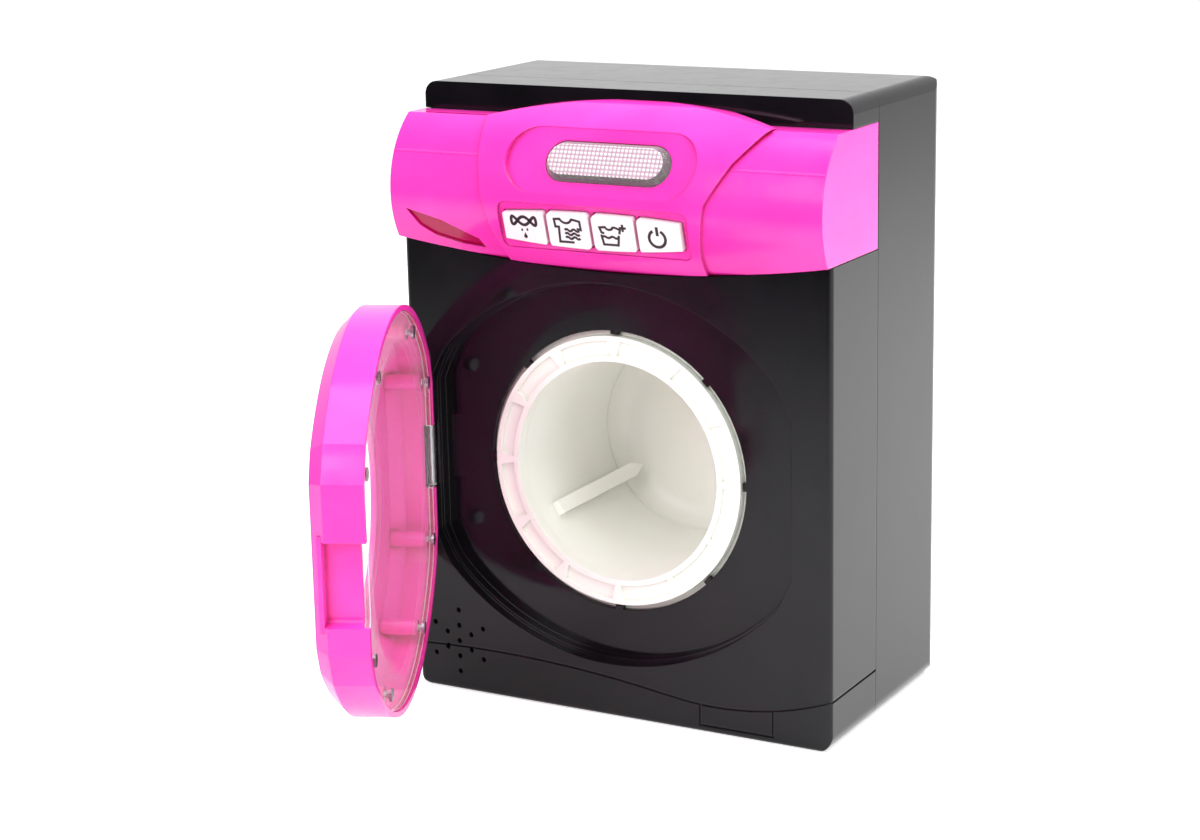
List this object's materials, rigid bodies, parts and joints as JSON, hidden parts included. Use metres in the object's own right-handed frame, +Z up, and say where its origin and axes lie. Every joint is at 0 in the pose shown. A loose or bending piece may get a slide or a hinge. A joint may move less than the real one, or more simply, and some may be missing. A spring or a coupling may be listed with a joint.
{
  "type": "toy washing machine",
  "caption": "Toy front-loading washing machine with a bulging button panel, a hinged round door and a gear-driven drum that turns",
  "frame": {"origin": "middle of the casing's underside", "axes": "+X to the machine's right side as seen from the front, +Y to the back, +Z up; the front faces -Y"},
  "size_m": [0.1791, 0.2406, 0.232],
  "materials": {
    "casing_black": "glossy black moulded plastic",
    "panel_pink": "glossy magenta pink moulded plastic",
    "clear": "clear moulded plastic",
    "button_white": "satin white plastic",
    "drum_white": "satin ivory plastic",
    "gear_white": "plain acetal",
    "gearbox_blue": "moulded plastic",
    "steel": "plated steel",
    "brass": "sintered bronze",
    "board_green": "circuit board",
    "rubber_grey": "moulded silicone",
    "black_plastic": "plain black plastic",
    "battery_blue": "printed battery sleeve"
  },
  "bodies": {
    "machine": {"front_shell": "casing_black", "rear_shell": "casing_black", "control_panel": "panel_pink", "lens": "clear", "lamp_board": "board_green", "key_mat": "rubber_grey", "switch_board": "board_green", "panel_screws": "steel", "hinge_pin": "steel", "idler_pins": "steel", "motor": "steel", "gearbox_front": "gearbox_blue", "gearbox_back": "gearbox_blue", "gearbox_screws": "steel", "shaft_bushes": "brass", "speaker": "black_plastic", "speaker_cone": "black_plastic", "speaker_clamp": "black_plastic", "main_board": "board_green", "board_screws": "steel", "battery_box": "black_plastic", "batteries": "battery_blue", "battery_contacts": "steel", "battery_cover": "casing_black", "battery_screw": "steel", "casing_screws": "steel"},
    "door": {"door_ring": "panel_pink", "door_liner": "clear", "door_screws": "steel"},
    "drum": {"drum": "drum_white", "drum_ring": "drum_white", "drum_shaft": "steel", "drum_gear": "gear_white"},
    "idler_a": {"idler_gear_a": "gear_white"},
    "idler_b": {"idler_gear_b": "gear_white"},
    "rotor": {"motor_shaft": "steel", "motor_pinion": "gear_white"},
    "towel_key": {"button_towel": "button_white"},
    "shirt_key": {"button_shirt": "button_white"},
    "tub_key": {"button_tub": "button_white"},
    "power_key": {"button_power": "button_white"}
  },
  "joints": [
    {"name": "door_hinge", "type": "hinge", "parent": "machine", "child": "door", "pos_m": [-0.0797, -0.048, 0.0925], "axis": [0, 0, -1], "range_deg": [-66, 1.5]},
    {"name": "drum_spin", "type": "hinge", "parent": "machine", "child": "drum", "pos_m": [-0.003, 0, 0.0925], "axis": [0, 1, 0], "continuous": true},
    {"name": "idler_b_spin", "type": "hinge", "parent": "machine", "child": "idler_b", "pos_m": [0.0082, 0, 0.0731], "axis": [0, 1, 0], "continuous": true},
    {"name": "idler_a_spin", "type": "hinge", "parent": "machine", "child": "idler_a", "pos_m": [0.01765, 0, 0.05673], "axis": [0, 1, 0], "continuous": true},
    {"name": "rotor_spin", "type": "hinge", "parent": "machine", "child": "rotor", "pos_m": [0.0271, 0, 0.04036], "axis": [0, 1, 0], "continuous": true},
    {"name": "towel_press", "type": "slide", "parent": "machine", "child": "towel_key", "axis": [0, 0.9636, 0.2672], "range_m": [0, 0.0012], "stiffness_N_per_m": 400},
    {"name": "shirt_press", "type": "slide", "parent": "machine", "child": "shirt_key", "axis": [0, 0.9636, 0.2672], "range_m": [0, 0.0012], "stiffness_N_per_m": 400},
    {"name": "tub_press", "type": "slide", "parent": "machine", "child": "tub_key", "axis": [0, 0.9636, 0.2672], "range_m": [0, 0.0012], "stiffness_N_per_m": 400},
    {"name": "power_press", "type": "slide", "parent": "machine", "child": "power_key", "axis": [0, 0.9636, 0.2672], "range_m": [0, 0.0012], "stiffness_N_per_m": 400}
  ],
  "couplings": [
    {"joint": "idler_b_spin", "follows": "drum_spin", "ratio": -4.3333},
    {"joint": "idler_a_spin", "follows": "drum_spin", "ratio": 15.167},
    {"joint": "rotor_spin", "follows": "drum_spin", "ratio": -53.083}
  ]
}
